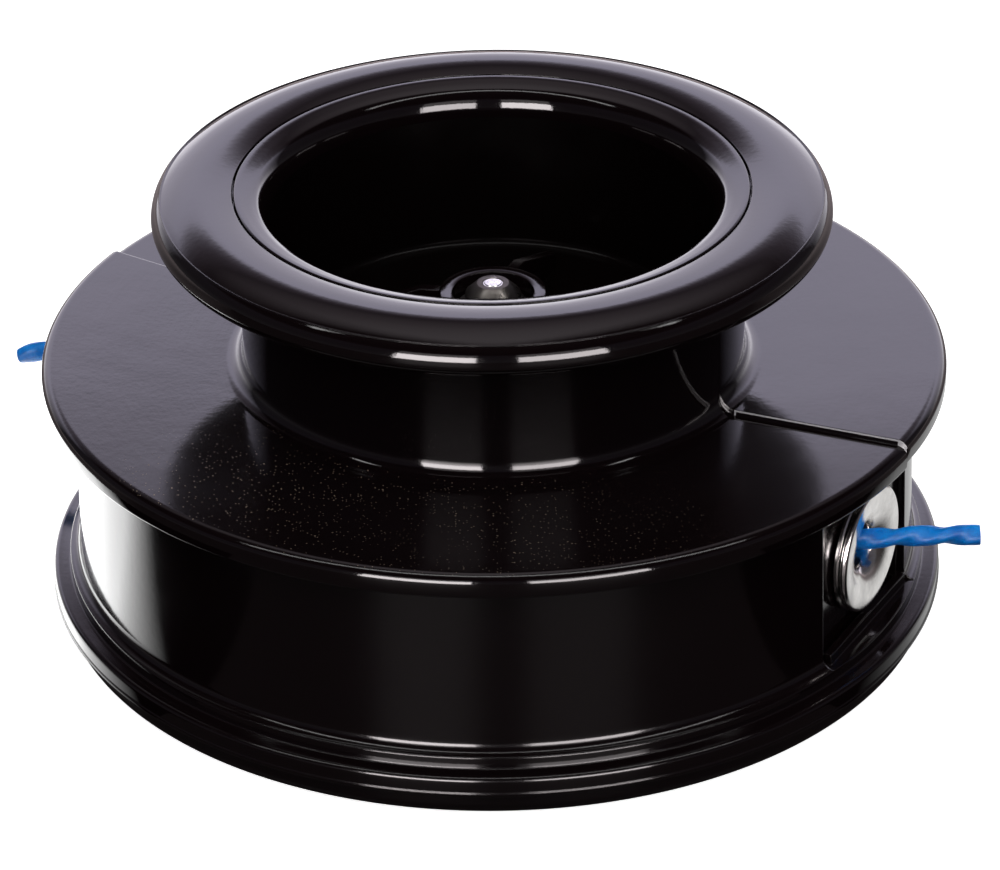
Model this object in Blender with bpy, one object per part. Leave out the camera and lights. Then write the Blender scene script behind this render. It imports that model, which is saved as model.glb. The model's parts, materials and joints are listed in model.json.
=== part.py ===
"""Line trimmer head with a turn-to-feed knob, in metres, +Z up.

The base stands at z = 0 on the axis. The knob with its spool turns clockwise
over two long face ramps on the drum's rim, against the spring on the arbor.
"""
import math

import bmesh
import bpy
from mathutils import Matrix, Vector

MM = 0.001

# Clearances between touching pieces
GAP = 0.3
RUN_GAP = 0.4

# Ratchet ramps on the drum's rim and under the knob's flange
RAMP_RISE = 0.8
RAMP_STARTS = 2
STEP_ANGLE = -28.5
STEP_PLAY = 0.4
STEP_WIDTH = 0.4
TURN_STEPS = 54

# Drum and its foot
BODY_RADIUS = 65.0
FOOT_RADIUS = BODY_RADIUS
FOOT_BOTTOM = 3.9
FOOT_TOP = 6.2
FOOT_ROUND = 1.1
LEDGE_INSET = 2.6
LEDGE_RADIUS = BODY_RADIUS - LEDGE_INSET
LEDGE_TOP = 8.7
FLARE_RADIUS = 1.6
WALL_FOOT_RADIUS = LEDGE_RADIUS - FLARE_RADIUS
WALL_DRAFT = 0.6
WALL_TOP_RADIUS = WALL_FOOT_RADIUS - WALL_DRAFT
WALL_THICKNESS = 2.1
WALL_INNER_RADIUS = WALL_TOP_RADIUS - WALL_THICKNESS
RIM_TOP = 34.8
RIM_STEP = 1.5
RIM_INNER_RADIUS = WALL_INNER_RADIUS - RIM_STEP
RIM_DEPTH = 2.8
FLOOR_TOP = 11.2
FLOOR_BOTTOM = 8.8
FOOT_INNER_RADIUS = RIM_INNER_RADIUS - 1.0
HUB_RADIUS = 11.0
HUB_TOP = 13.7

# Eyelet pockets in the drum
POCKET_DEPTH = 2.3
POCKET_BACK = WALL_TOP_RADIUS - POCKET_DEPTH
POCKET_HALF_WIDTH = 13.8
PAD_THICKNESS = 2.7
PAD_INNER = POCKET_BACK - PAD_THICKNESS
PAD_HALF_WIDTH = 17.4
PAD_TOP = RIM_TOP - 2.4
SILL_CENTRE = POCKET_BACK + 1.4
SILL_THICKNESS = 1.2
SILL_HEIGHT = 1.6
SILL_HALF_WIDTH = 12.6

# Eyelets
EYELET_HEIGHT = 21.0
EYELET_RADIUS = 9.25
EYELET_BORE = 3.2
EYELET_DROP = 3.15
POCKET_BOTTOM = EYELET_HEIGHT - EYELET_RADIUS - EYELET_DROP
SILL_TOP = POCKET_BOTTOM + SILL_HEIGHT
EYELET_BARREL = EYELET_BORE + 1.0
BACKING_THICKNESS = 0.75
EYELET_RIM = 0.95
EYELET_BACK = POCKET_BACK + GAP + BACKING_THICKNESS + GAP
EYELET_FACE = EYELET_BACK + EYELET_RIM
EYELET_INNER_END = PAD_INNER - GAP

# Base cover and its screws
COVER_INSET = 1.3
COVER_RADIUS = BODY_RADIUS - COVER_INSET
COVER_ROUND = 2.0
COVER_HOLE = 10.5
COVER_SCREWS = 4
COVER_SCREW_CIRCLE = 40.0
COVER_SCREW_HEAD = 3.3
COVER_SCREW_SHANK = 1.6
COVER_HEAD_DEPTH = 2.0
COVER_BOSS_RADIUS = 4.2
COVER_SCREW_TIP = 9.9

# Arbor, its nut and its washers
HEX_ACROSS_FLATS = 17.0
HEX_BOTTOM = 0.6
ARBOR_BORE = 4.3
ARBOR_BORE_DEPTH = 11.5
SHANK_RADIUS = 7.0
SHAFT_RADIUS = 4.0
TIP_RADIUS = 2.4
CENTRE_RADIUS = 1.3
CLIP_GROOVE_RADIUS = SHAFT_RADIUS - 0.6
NUT_ACROSS_FLATS = 13.0
NUT_HEIGHT = 6.5
WASHER_RADIUS = 8.0
WASHER_HEIGHT = 1.6

# Knob shell: flange, neck and rolled rim
FLANGE_RADIUS = BODY_RADIUS
FLANGE_THICKNESS = 3.4
FLANGE_DISH = 0.5
FLANGE_ROUND = 1.5
RAMP_INNER_RADIUS = RIM_INNER_RADIUS - 0.8
NECK_RADIUS = 36.04
NECK_WALL = 2.44
NECK_INNER = NECK_RADIUS - NECK_WALL
NECK_FILLET = 2.8
ROLL_CENTRE_RADIUS = NECK_RADIUS + 8.52
KNOB_HEIGHT = 30.35
KNOB_TOP = RIM_TOP + KNOB_HEIGHT
ROLL_DROP = 3.72
ROLL_CENTRE_HEIGHT = KNOB_TOP - ROLL_DROP
ROLL_RADIUS = 3.32
ROLL_BLEND_ANGLE = 61.0
SEAT_STEP = 3.2
SEAT_RADIUS = NECK_INNER + SEAT_STEP

# Knob cup with boss and ribs
LIP_TOP = KNOB_TOP - 0.15
LIP_THICKNESS = 3.0
LIP_UNDERSIDE = LIP_TOP - LIP_THICKNESS
LIP_WIDTH = 3.23
MOUTH_RADIUS = SEAT_RADIUS - GAP - LIP_WIDTH
MOUTH_HEIGHT = LIP_TOP - 1.25
CUP_WALL = 1.6
CUP_WALL_TOP = NECK_INNER - GAP - CUP_WALL
CUP_TAPER = 1.2
CUP_WALL_BOTTOM = CUP_WALL_TOP - CUP_TAPER
CUP_FLOOR_RISE = 5.0
CUP_FLOOR = RIM_TOP + CUP_FLOOR_RISE
CUP_FLOOR_THICKNESS = 2.2
BOSS_RADIUS = 7.65
BOSS_WALL = 1.85
BOSS_BORE = BOSS_RADIUS - BOSS_WALL
BOSS_HEIGHT = 7.9
BOSS_TOP = CUP_FLOOR + BOSS_HEIGHT
BOSS_REACH = 8.6
BOSS_BOTTOM = CUP_FLOOR - BOSS_REACH
SHOULDER_THICKNESS = 2.0
SHOULDER_TOP = BOSS_BOTTOM + SHOULDER_THICKNESS
SHOULDER_BORE = SHAFT_RADIUS + RUN_GAP
RIB_ANGLES = (69.0, 169.0, 299.0)
RIB_THICKNESS = 1.6
RIB_TOP = BOSS_TOP - 0.3
RIB_FLAT_END = BOSS_RADIUS + 2.85
RIB_END_RISE = 2.5
RIB_END = 23.9

# Spool and line
SPOOL_RADIUS = PAD_INNER - GAP - RUN_GAP
COIL_INSET = 7.5
COIL_RADIUS = SPOOL_RADIUS - COIL_INSET
SPOOL_HUB = COIL_RADIUS / 2
SPOOL_HUB_WALL = 2.4
SPOOL_HUB_INNER = SPOOL_HUB - SPOOL_HUB_WALL
SPOOL_BOTTOM = FLOOR_TOP + 1.1
SPOOL_TOP = RIM_TOP + 0.4
SPOOL_FLANGE = 1.8
SPOOL_HOLE = BOSS_RADIUS + 0.55
SPOOL_SCREWS = 3
SPOOL_SCREW_CIRCLE = (BOSS_RADIUS + SPOOL_HUB_INNER) / 2
SPOOL_SCREW_ANGLE = 0.0
SPOOL_POST_RADIUS = 3.6
LINE_DIAMETER = 2.6
LINE_POINTS = 9
LINE_RIGHT = [
    (36.2, -32.6, 20.4),
    (42.4, -28.6, 20.9),
    (49.5, -27.0, 21.3),
    (59.0, -26.9, 21.9),
    (68.1, -27.0, 22.0),
]
LINE_LEFT = [
    (-41.4, 22.48, 21.0),
    (-51.0, 27.7, 21.2),
    (-60.5, 31.0, 21.3),
    (-67.9, 33.0, 21.1),
    (-71.8, 33.9, 19.9),
]

# Top of the arbor and the spring stack round it, in the boss
SHAFT_TOP = BOSS_TOP + 1.3
CLIP_GROOVE_TOP = BOSS_TOP - 2.0
CLIP_GROOVE_BOTTOM = CLIP_GROOVE_TOP - 1.4
STACK_OUTER = BOSS_BORE - RUN_GAP
STACK_WASHER = 0.8
SPRING_WIRE = 1.0
SPRING_TURNS = 4.0
SPRING_TOP = CLIP_GROOVE_BOTTOM - 0.2 - STACK_WASHER - GAP
CLIP_RADIUS = BOSS_BORE - RUN_GAP - 0.1
CLIP_THICKNESS = 0.8

BLACK_PLASTIC = (0.012, 0.011, 0.013)
DARK_PLASTIC = (0.02, 0.019, 0.021)
STEEL = (0.56, 0.55, 0.54)
BRIGHT_STEEL = (0.78, 0.77, 0.76)
SPRING_STEEL = (0.4, 0.39, 0.38)
LINE_BLUE = (0.0, 0.17, 0.62)


def clear_scene():
    for item in list(bpy.data.objects):
        bpy.data.objects.remove(item, do_unlink=True)


def make_material(name, colour, roughness, metallic=0.0):
    material = bpy.data.materials.new(name)
    material.use_nodes = True
    shader = material.node_tree.nodes["Principled BSDF"]
    shader.inputs["Base Color"].default_value = (*colour, 1.0)
    shader.inputs["Roughness"].default_value = roughness
    shader.inputs["Metallic"].default_value = metallic
    material.diffuse_color = (*colour, 1.0)
    return material


def finish_mesh(name, mesh_edit, material, sharp_angle=32.0):
    """Turns an edited mesh into a linked object with smooth sides and sharp edges."""
    bmesh.ops.recalc_face_normals(mesh_edit, faces=mesh_edit.faces)
    mesh = bpy.data.meshes.new(name)
    mesh_edit.to_mesh(mesh)
    mesh_edit.free()
    mesh.materials.append(material)
    mesh.shade_smooth()
    mesh.set_sharp_from_angle(angle=math.radians(sharp_angle))
    item = bpy.data.objects.new(name, mesh)
    bpy.context.collection.objects.link(item)
    return item


def spin_outline(outline, steps):
    """Spins a closed outline of radius and height about the axis."""
    mesh_edit = bmesh.new()
    corners = [mesh_edit.verts.new((r * MM, 0.0, z * MM)) for r, z in outline]
    edges = []
    for index, corner in enumerate(corners):
        following = corners[(index + 1) % len(corners)]
        if outline[index][0] > 0.0 or outline[(index + 1) % len(outline)][0] > 0.0:
            edges.append(mesh_edit.edges.new((corner, following)))
    bmesh.ops.spin(
        mesh_edit,
        geom=corners + edges,
        cent=(0.0, 0.0, 0.0),
        axis=(0.0, 0.0, 1.0),
        angle=math.tau,
        steps=steps,
        use_duplicate=False,
    )
    bmesh.ops.remove_doubles(mesh_edit, verts=mesh_edit.verts, dist=1e-6)
    return mesh_edit


def turned(name, outline, material, steps=48):
    return finish_mesh(name, spin_outline(outline, steps), material)


def ramped(name, outline, material, play):
    """Spins an outline of radius, height and ramp share, then lifts it along the ramps."""
    mesh_edit = spin_outline([(r, z) for r, z, share in outline], TURN_STEPS)
    per_start = TURN_STEPS // RAMP_STARTS
    sweep = 360.0 / RAMP_STARTS - STEP_WIDTH
    for corner in mesh_edit.verts:
        radius = math.hypot(corner.co.x, corner.co.y)
        angle = math.degrees(math.atan2(corner.co.y, corner.co.x)) % 360.0
        count = round(angle * TURN_STEPS / 360.0) % TURN_STEPS
        start, place = divmod(count, per_start)
        along = place / (per_start - 1)
        angle = STEP_ANGLE + play + STEP_WIDTH / 2 + start * 360.0 / RAMP_STARTS + along * sweep
        here = (radius / MM, corner.co.z / MM)
        share = min(outline, key=lambda point: math.dist(here, point[:2]))[2]
        corner.co.x = radius * math.cos(math.radians(angle))
        corner.co.y = radius * math.sin(math.radians(angle))
        corner.co.z += share * RAMP_RISE * MM * (1.0 - along)
    return finish_mesh(name, mesh_edit, material)


def arc(centre_radius, centre_height, radius, first, last, count):
    """Points of an arc in the outline's plane, angles from outwards, up positive."""
    points = []
    for index in range(count):
        angle = math.radians(first + (last - first) * index / (count - 1))
        points.append((centre_radius + radius * math.cos(angle), centre_height + radius * math.sin(angle)))
    return points


def block(name, low, high, material, angle=0.0):
    """A box from low to high, turned about the axis by an angle."""
    mesh_edit = bmesh.new()
    bmesh.ops.create_cube(mesh_edit, size=1.0)
    size = [(b - a) * MM for a, b in zip(low, high)]
    middle = Vector([(a + b) / 2 * MM for a, b in zip(low, high)])
    bmesh.ops.scale(mesh_edit, vec=size, verts=mesh_edit.verts)
    bmesh.ops.translate(mesh_edit, vec=middle, verts=mesh_edit.verts)
    turn = Matrix.Rotation(math.radians(angle), 4, "Z")
    bmesh.ops.transform(mesh_edit, matrix=turn, verts=mesh_edit.verts)
    return finish_mesh(name, mesh_edit, material)


def post(name, radius, bottom, top, material, place=(0.0, 0.0), sides=24, turn=0.0):
    """An upright prism with any number of sides."""
    mesh_edit = bmesh.new()
    bmesh.ops.create_cone(
        mesh_edit,
        cap_ends=True,
        segments=sides,
        radius1=radius * MM,
        radius2=radius * MM,
        depth=(top - bottom) * MM,
        matrix=Matrix.Translation((place[0] * MM, place[1] * MM, (top + bottom) / 2 * MM))
        @ Matrix.Rotation(math.radians(turn), 4, "Z"),
    )
    return finish_mesh(name, mesh_edit, material)


def combine(item, tool, operation):
    """Adds or cuts a tool object, which stays out of the picture."""
    tool.hide_render = True
    tool.display_type = "WIRE"
    change = item.modifiers.new(tool.name, "BOOLEAN")
    change.operation = operation
    change.solver = "EXACT"
    change.object = tool


def around(count, radius, first=0.0):
    """Places on a circle as x, y and angle."""
    places = []
    for index in range(count):
        angle = first + 360.0 * index / count
        turn = math.radians(angle)
        places.append((radius * math.cos(turn), radius * math.sin(turn), angle))
    return places


def pocket_angles():
    return [STEP_ANGLE + 360.0 * index / RAMP_STARTS for index in range(RAMP_STARTS)]


def drum_outline():
    """Outer side from the rim down, then the underside and the inside."""
    foot_round = arc(FOOT_RADIUS - FOOT_ROUND, FOOT_TOP - FOOT_ROUND, FOOT_ROUND, 90, 0, 4)
    flare = arc(LEDGE_RADIUS, LEDGE_TOP + FLARE_RADIUS, FLARE_RADIUS, 180, 270, 4)
    plain = flare
    plain += [(LEDGE_RADIUS + 0.1, FOOT_TOP + 0.5), (LEDGE_RADIUS + 0.5, FOOT_TOP)]
    plain += foot_round
    plain += [(FOOT_RADIUS, FOOT_BOTTOM), (FOOT_INNER_RADIUS, FOOT_BOTTOM)]
    plain += [(FOOT_INNER_RADIUS - 0.4, FLOOR_BOTTOM), (SHANK_RADIUS + GAP, FLOOR_BOTTOM)]
    plain += [(SHANK_RADIUS + GAP, HUB_TOP), (HUB_RADIUS - 0.4, HUB_TOP), (HUB_RADIUS, FLOOR_TOP)]
    plain += [(WALL_INNER_RADIUS - 1.2, FLOOR_TOP), (WALL_INNER_RADIUS, FLOOR_TOP + 1.2)]
    plain += [(WALL_INNER_RADIUS, RIM_TOP - RIM_DEPTH - 1.5), (RIM_INNER_RADIUS, RIM_TOP - RIM_DEPTH)]
    outline = [(RIM_INNER_RADIUS, RIM_TOP, 1.0), (WALL_TOP_RADIUS, RIM_TOP, 1.0)]
    return outline + [(r, z, 0.0) for r, z in plain]


def pocket_tools(drum, angle, number, material):
    """Thickens the wall behind an eyelet, sinks the pocket and adds its sill."""
    pad = block(
        f"pad_tool_{number}",
        (PAD_INNER, -PAD_HALF_WIDTH, FLOOR_TOP - 1.0),
        (POCKET_BACK + 0.6, PAD_HALF_WIDTH, PAD_TOP),
        material,
        angle,
    )
    pocket = block(
        f"pocket_tool_{number}",
        (POCKET_BACK, -POCKET_HALF_WIDTH, POCKET_BOTTOM),
        (FOOT_RADIUS + 5.0, POCKET_HALF_WIDTH, RIM_TOP + 5.0),
        material,
        angle,
    )
    sill = block(
        f"sill_tool_{number}",
        (SILL_CENTRE - SILL_THICKNESS / 2, -SILL_HALF_WIDTH, POCKET_BOTTOM - 1.0),
        (SILL_CENTRE + SILL_THICKNESS / 2, SILL_HALF_WIDTH, SILL_TOP),
        material,
        angle,
    )
    hole = post(f"eyelet_hole_tool_{number}", EYELET_BARREL + RUN_GAP, -5.0, 5.0, material, sides=32)
    aim_outwards(hole, angle, PAD_INNER + 2.0)
    combine(drum, pad, "UNION")
    combine(drum, pocket, "DIFFERENCE")
    combine(drum, sill, "UNION")
    combine(drum, hole, "DIFFERENCE")


def aim_outwards(item, angle, distance):
    """Lays an upright piece along the line's way out, its +Z pointing outwards."""
    turn = math.radians(angle)
    item.rotation_euler = (0.0, math.radians(90), turn)
    item.location = (distance * MM * math.cos(turn), distance * MM * math.sin(turn), EYELET_HEIGHT * MM)


def build_drum(material):
    drum = ramped("housing_drum", drum_outline(), material, STEP_PLAY)
    for number, angle in enumerate(pocket_angles(), 1):
        pocket_tools(drum, angle, number, material)
    for number, (x, y, angle) in enumerate(around(COVER_SCREWS, COVER_SCREW_CIRCLE, 45.0), 1):
        boss = post(f"boss_tool_{number}", COVER_BOSS_RADIUS, FOOT_BOTTOM, FLOOR_BOTTOM + 1.0, material, (x, y), 14)
        pilot_radius = COVER_SCREW_SHANK + GAP
        pilot_top = COVER_SCREW_TIP + GAP
        pilot = post(f"pilot_tool_{number}", pilot_radius, FOOT_BOTTOM - 2.0, pilot_top, material, (x, y), 10)
        combine(drum, boss, "UNION")
        combine(drum, pilot, "DIFFERENCE")
    return drum


def build_cover(material):
    top = FOOT_BOTTOM - GAP
    outline = arc(COVER_RADIUS - COVER_ROUND, COVER_ROUND, COVER_ROUND, 0, -90, 4)
    outline += [(COVER_HOLE + 0.6, 0.0), (COVER_HOLE, 0.6), (COVER_HOLE, top), (COVER_RADIUS, top)]
    cover = turned("base_cover", outline, material, 48)
    for number, (x, y, angle) in enumerate(around(COVER_SCREWS, COVER_SCREW_CIRCLE, 45.0), 1):
        through = post(f"through_tool_{number}", COVER_SCREW_SHANK + GAP, -1.0, top + 1.0, material, (x, y), 10)
        sink = post(f"sink_tool_{number}", COVER_SCREW_HEAD + GAP, -1.0, COVER_HEAD_DEPTH, material, (x, y), 12)
        combine(cover, through, "DIFFERENCE")
        combine(cover, sink, "DIFFERENCE")
    return cover


def build_cover_screws(material):
    """Screws up through the base cover, with a six-sided socket in each head."""
    for number, (x, y, angle) in enumerate(around(COVER_SCREWS, COVER_SCREW_CIRCLE, 45.0), 1):
        head_top = COVER_HEAD_DEPTH - GAP
        outline = [
            (0.0, GAP),
            (COVER_SCREW_HEAD - 0.5, GAP),
            (COVER_SCREW_HEAD, GAP + 0.5),
            (COVER_SCREW_HEAD, head_top),
            (COVER_SCREW_SHANK, head_top),
            (COVER_SCREW_SHANK, COVER_SCREW_TIP - 1.0),
            (0.0, COVER_SCREW_TIP),
        ]
        screw = turned(f"cover_screw_{number}", outline, material, 10)
        socket = post(f"socket_tool_{number}", 1.5, -1.0, 1.1, material, sides=6)
        socket.parent = screw
        combine(screw, socket, "DIFFERENCE")
        screw.location = (x * MM, y * MM, 0.0)


def build_arbor(material):
    hex_top = FLOOR_BOTTOM - GAP
    corner = HEX_ACROSS_FLATS / math.sqrt(3.0)
    arbor = post("arbor", corner, HEX_BOTTOM, hex_top, material, sides=6)
    outline = [
        (0.0, HEX_BOTTOM + 1.0),
        (SHANK_RADIUS, HEX_BOTTOM + 1.0),
        (SHANK_RADIUS, HUB_TOP - 0.2),
        (SHAFT_RADIUS, HUB_TOP - 0.2),
        (SHAFT_RADIUS, CLIP_GROOVE_BOTTOM),
        (CLIP_GROOVE_RADIUS, CLIP_GROOVE_BOTTOM),
        (CLIP_GROOVE_RADIUS, CLIP_GROOVE_TOP),
        (SHAFT_RADIUS, CLIP_GROOVE_TOP),
        (SHAFT_RADIUS, SHAFT_TOP - (SHAFT_RADIUS - TIP_RADIUS)),
        (TIP_RADIUS, SHAFT_TOP),
        (CENTRE_RADIUS, SHAFT_TOP),
        (0.0, SHAFT_TOP - CENTRE_RADIUS),
    ]
    shaft = turned("shaft_tool", outline, material, 24)
    bore = post("arbor_bore_tool", ARBOR_BORE, -1.0, ARBOR_BORE_DEPTH, material, sides=18)
    combine(arbor, shaft, "UNION")
    combine(arbor, bore, "DIFFERENCE")


def build_arbor_fixings(material):
    inner = SHAFT_RADIUS + GAP
    bottom = HUB_TOP + GAP
    top = bottom + WASHER_HEIGHT
    turned("arbor_washer", [(inner, bottom), (WASHER_RADIUS, bottom), (WASHER_RADIUS, top), (inner, top)], material, 20)
    corner = NUT_ACROSS_FLATS / math.sqrt(3.0)
    nut = post("arbor_nut", corner, top + GAP, top + GAP + NUT_HEIGHT, material, sides=6)
    thread = post("nut_tool", inner, top - 1.0, top + NUT_HEIGHT + 2.0, material, sides=16)
    combine(nut, thread, "DIFFERENCE")


def eyelet_outline():
    """Radius and height along the line's way out, height 0 at the face."""
    back = EYELET_BACK - EYELET_FACE
    inner_end = EYELET_INNER_END - EYELET_FACE
    outline = [(EYELET_BORE, inner_end), (EYELET_BORE, -2.4), (3.9, -1.3), (5.4, -0.55), (7.2, -0.15)]
    outline += [(8.5, 0.0), (EYELET_RADIUS - 0.25, back + 0.8), (EYELET_RADIUS, back + 0.45)]
    outline += [(EYELET_RADIUS - 0.3, back), (EYELET_BARREL + 0.9, back), (EYELET_BARREL, back - 0.7)]
    outline += [(EYELET_BARREL, inner_end)]
    return outline


def build_eyelet(side, angle, material):
    eyelet = turned(f"eyelet_{side}", eyelet_outline(), material, 28)
    aim_outwards(eyelet, angle, EYELET_FACE)
    bottom = POCKET_BACK + GAP
    top = bottom + BACKING_THICKNESS
    inner = EYELET_BARREL + 1.3
    outer = EYELET_RADIUS
    outline = [(inner, 0.0), (outer - 0.2, 0.0), (outer, 0.2), (outer, top - bottom - 0.2)]
    outline += [(outer - 0.2, top - bottom), (inner, top - bottom)]
    washer = turned(f"eyelet_washer_{side}", outline, material, 24)
    aim_outwards(washer, angle, bottom)


def crown(end):
    """Top of the knob, level at the cup's seat and falling ever faster to the rolled edge."""
    width = end[0] - SEAT_RADIUS
    drop = KNOB_TOP - end[1]
    power = width / math.tan(math.radians(ROLL_BLEND_ANGLE)) / drop
    return [(SEAT_RADIUS + width * share, KNOB_TOP - drop * share ** power) for share in (0.0, 0.55, 0.75, 0.9)]


def shell_outline():
    """Outer side from the seat of the cup down to the flange, then back up inside."""
    flange_top = RIM_TOP + GAP + FLANGE_THICKNESS
    neck_foot = flange_top - FLANGE_DISH
    roll = arc(ROLL_CENTRE_RADIUS, ROLL_CENTRE_HEIGHT, ROLL_RADIUS, ROLL_BLEND_ANGLE, -90, 6)
    upper = crown(roll[0]) + roll
    underside = ROLL_CENTRE_HEIGHT - ROLL_RADIUS
    upper += [(NECK_RADIUS + 0.8, underside), (NECK_RADIUS, underside - 0.8)]
    fillet = arc(NECK_RADIUS + NECK_FILLET, neck_foot + NECK_FILLET, NECK_FILLET, 180, 270, 4)
    rim = arc(FLANGE_RADIUS - FLANGE_ROUND, flange_top - FLANGE_ROUND, FLANGE_ROUND, 90, 0, 4)
    ramp_part = fillet + rim
    ramp_part += [(FLANGE_RADIUS, RIM_TOP + GAP), (RAMP_INNER_RADIUS, RIM_TOP + GAP)]
    inside_height = SPOOL_TOP + GAP
    inner = [(RAMP_INNER_RADIUS - 0.4, inside_height + 0.3), (NECK_INNER + 0.5, inside_height + 0.3)]
    inner += [(NECK_INNER, inside_height + 0.8), (NECK_INNER, LIP_UNDERSIDE - GAP), (SEAT_RADIUS, LIP_UNDERSIDE - GAP)]
    outline = [(r, z, 0.0) for r, z in upper]
    outline += [(r, z, 1.0) for r, z in ramp_part]
    outline += [(r, z, 0.0) for r, z in inner]
    return outline


def cup_outline():
    """Lip, wall, floor and boss of the cup, starting under the lip and going over the inside."""
    lip_radius = SEAT_RADIUS - GAP
    floor_under = CUP_FLOOR - CUP_FLOOR_THICKNESS
    outline = [(lip_radius, LIP_UNDERSIDE), (lip_radius, LIP_TOP), (MOUTH_RADIUS, MOUTH_HEIGHT)]
    outline += [(CUP_WALL_TOP + 0.65, MOUTH_HEIGHT - 1.0), (CUP_WALL_TOP + 0.15, MOUTH_HEIGHT - 2.25)]
    outline += [(CUP_WALL_TOP, MOUTH_HEIGHT - 3.75)]
    outline += [(CUP_WALL_BOTTOM, CUP_FLOOR + 1.4), (CUP_WALL_BOTTOM - 1.2, CUP_FLOOR), (BOSS_RADIUS, CUP_FLOOR)]
    outline += [(BOSS_RADIUS, BOSS_TOP), (BOSS_BORE, BOSS_TOP)]
    outline += [(BOSS_BORE, SHOULDER_TOP), (SHOULDER_BORE, SHOULDER_TOP), (SHOULDER_BORE, BOSS_BOTTOM)]
    outline += [(BOSS_RADIUS, BOSS_BOTTOM), (BOSS_RADIUS, floor_under)]
    outline += [(CUP_WALL_BOTTOM - 0.8, floor_under), (CUP_WALL_BOTTOM + CUP_WALL, CUP_FLOOR)]
    outline += [(CUP_WALL_TOP + CUP_WALL, LIP_UNDERSIDE)]
    return outline


def rib_tool(number, angle, material):
    """A thin web from the boss down to the floor of the cup."""
    half = RIB_THICKNESS / 2
    side = [(BOSS_RADIUS - 0.8, CUP_FLOOR - 1.0), (BOSS_RADIUS - 0.8, RIB_TOP), (RIB_FLAT_END, RIB_TOP)]
    side += [(RIB_END, CUP_FLOOR + RIB_END_RISE), (RIB_END, CUP_FLOOR - 1.0)]
    mesh_edit = bmesh.new()
    face = mesh_edit.faces.new([mesh_edit.verts.new((r * MM, -half * MM, z * MM)) for r, z in side])
    moved = bmesh.ops.extrude_face_region(mesh_edit, geom=[face])
    corners = [part for part in moved["geom"] if isinstance(part, bmesh.types.BMVert)]
    bmesh.ops.translate(mesh_edit, vec=(0.0, RIB_THICKNESS * MM, 0.0), verts=corners)
    turn = Matrix.Rotation(math.radians(angle), 4, "Z")
    bmesh.ops.transform(mesh_edit, matrix=turn, verts=mesh_edit.verts)
    return finish_mesh(f"rib_tool_{number}", mesh_edit, material)


def build_cup(material):
    cup = turned("knob_cup", cup_outline(), material, 42)
    for number, angle in enumerate(RIB_ANGLES, 1):
        combine(cup, rib_tool(number, angle, material), "UNION")
    floor_under = CUP_FLOOR - CUP_FLOOR_THICKNESS
    for number, (x, y, angle) in enumerate(around(SPOOL_SCREWS, SPOOL_SCREW_CIRCLE, SPOOL_SCREW_ANGLE), 1):
        radius = COVER_SCREW_SHANK + GAP
        leg = post(f"leg_tool_{number}", SPOOL_POST_RADIUS, SPOOL_TOP + GAP, floor_under + 0.6, material, (x, y), 12)
        pilot = post(f"leg_pilot_tool_{number}", radius, SPOOL_TOP - 1.0, CUP_FLOOR - 0.6, material, (x, y), 10)
        combine(cup, leg, "UNION")
        combine(cup, pilot, "DIFFERENCE")
    return cup


def build_spool(material):
    under = SPOOL_TOP - SPOOL_FLANGE
    lower_top = SPOOL_BOTTOM + SPOOL_FLANGE
    outline = [(SPOOL_HOLE, SPOOL_TOP), (SPOOL_RADIUS, SPOOL_TOP), (SPOOL_RADIUS, under), (SPOOL_HUB, under)]
    outline += [(SPOOL_HUB, lower_top), (SPOOL_RADIUS, lower_top), (SPOOL_RADIUS, SPOOL_BOTTOM)]
    outline += [(SPOOL_HUB_INNER, SPOOL_BOTTOM), (SPOOL_HUB_INNER, under), (SPOOL_HOLE, under)]
    spool = turned("spool", outline, material, 24)
    for number, (x, y, angle) in enumerate(around(SPOOL_SCREWS, SPOOL_SCREW_CIRCLE, SPOOL_SCREW_ANGLE), 1):
        radius = COVER_SCREW_SHANK + GAP
        hole = post(f"spool_hole_tool_{number}", radius, under - 1.0, SPOOL_TOP + 1.0, material, (x, y), 10)
        combine(spool, hole, "DIFFERENCE")


def build_spool_screws(material):
    """Screws up through the spool's top web into the cup."""
    under = SPOOL_TOP - SPOOL_FLANGE - GAP
    tip = CUP_FLOOR - 0.6 - GAP
    for number, (x, y, angle) in enumerate(around(SPOOL_SCREWS, SPOOL_SCREW_CIRCLE, SPOOL_SCREW_ANGLE), 1):
        outline = [
            (0.0, under - 1.6),
            (COVER_SCREW_HEAD - 0.5, under - 1.6),
            (COVER_SCREW_HEAD, under - 1.1),
            (COVER_SCREW_HEAD, under),
            (COVER_SCREW_SHANK, under),
            (COVER_SCREW_SHANK, tip - 1.0),
            (0.0, tip),
        ]
        screw = turned(f"spool_screw_{number}", outline, material, 10)
        screw.location = (x * MM, y * MM, 0.0)


def build_wound_line(material):
    """The line wound on the spool, as one solid of its outer shape."""
    low = SPOOL_BOTTOM + SPOOL_FLANGE + RUN_GAP
    high = SPOOL_TOP - SPOOL_FLANGE - RUN_GAP
    inner = SPOOL_HUB + GAP
    bulge = arc(COIL_RADIUS - 3.0, (low + high) / 2, 1.0, -90, 90, 5)
    middle = (low + high) / 2
    half = (high - low) / 2
    outline = [(inner, high), (inner, low)]
    outline += [(COIL_RADIUS - 3.0 + (r - COIL_RADIUS + 3.0) * 3.0, middle + (z - middle) * half) for r, z in bulge]
    turned("wound_line", outline, material, 22)


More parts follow.
